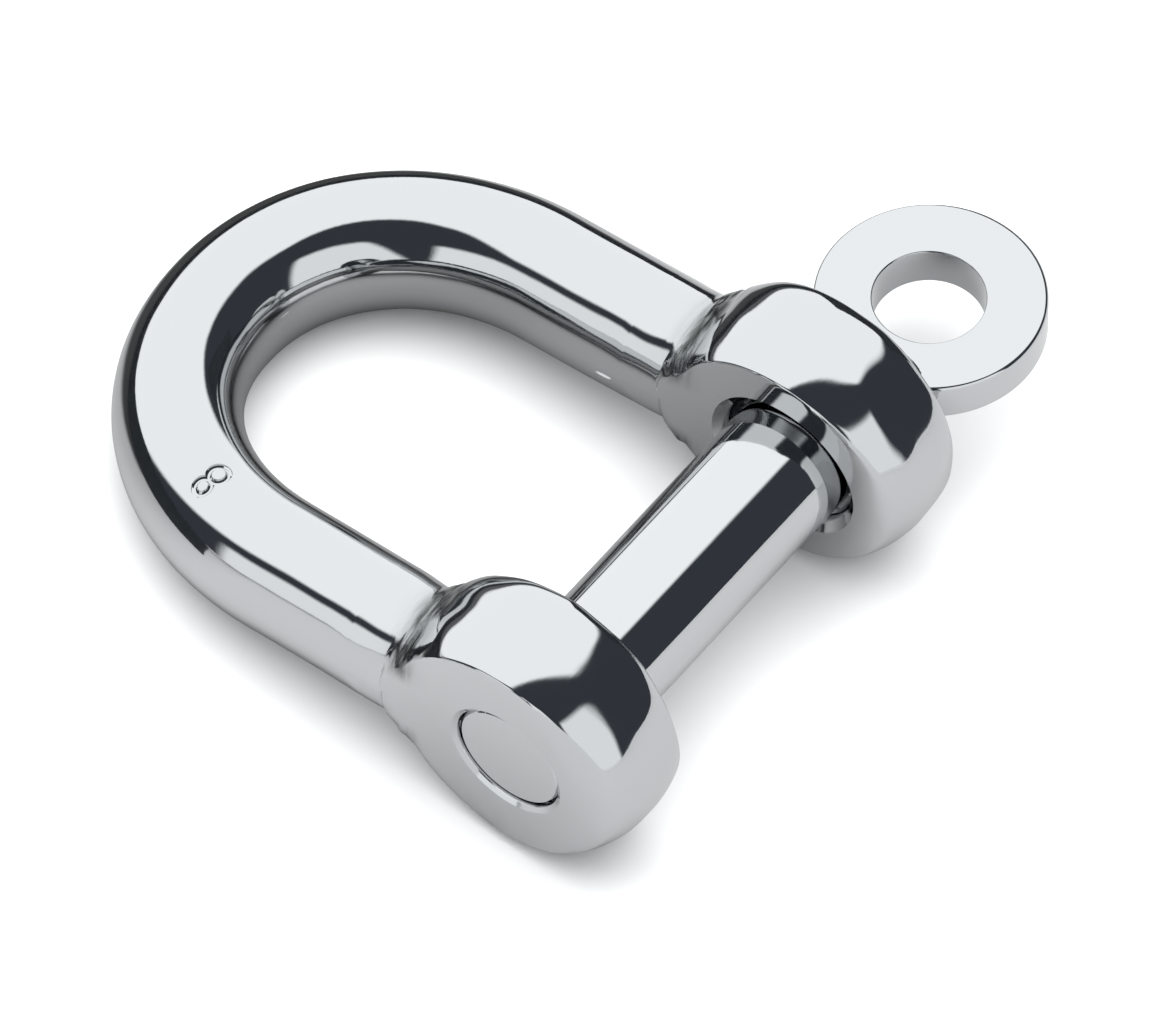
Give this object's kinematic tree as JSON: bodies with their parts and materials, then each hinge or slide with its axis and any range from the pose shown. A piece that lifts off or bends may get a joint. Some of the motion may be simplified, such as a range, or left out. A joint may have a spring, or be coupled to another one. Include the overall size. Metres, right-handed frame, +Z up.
{
  "type": "screw-pin shackle",
  "caption": "Polished forged D shackle: a U-bent bar ending in two flattened ears, closed by a screw pin with a flat pierced eye.",
  "frame": {"origin": "centre of the bounding box on the table that the shackle lies on", "axes": "+Z up, +X along the pin towards its eye, +Y from the pin towards the bow"},
  "size_m": [0.047, 0.0444, 0.0166],
  "materials": {
    "polished_forging": "mirror polished forged stainless steel, slightly uneven, ground marks in the necks",
    "bright_pin": "bright turned and polished stainless steel"
  },
  "bodies": {
    "shackle": {"shackle_body": "polished_forging"},
    "pin": {"screw_pin": "bright_pin"}
  },
  "joints": [
    {"name": "pin_draw", "type": "slide", "parent": "shackle", "child": "pin", "axis": [1, 0, 0], "range_m": [0, 0.0275]}
  ]
}
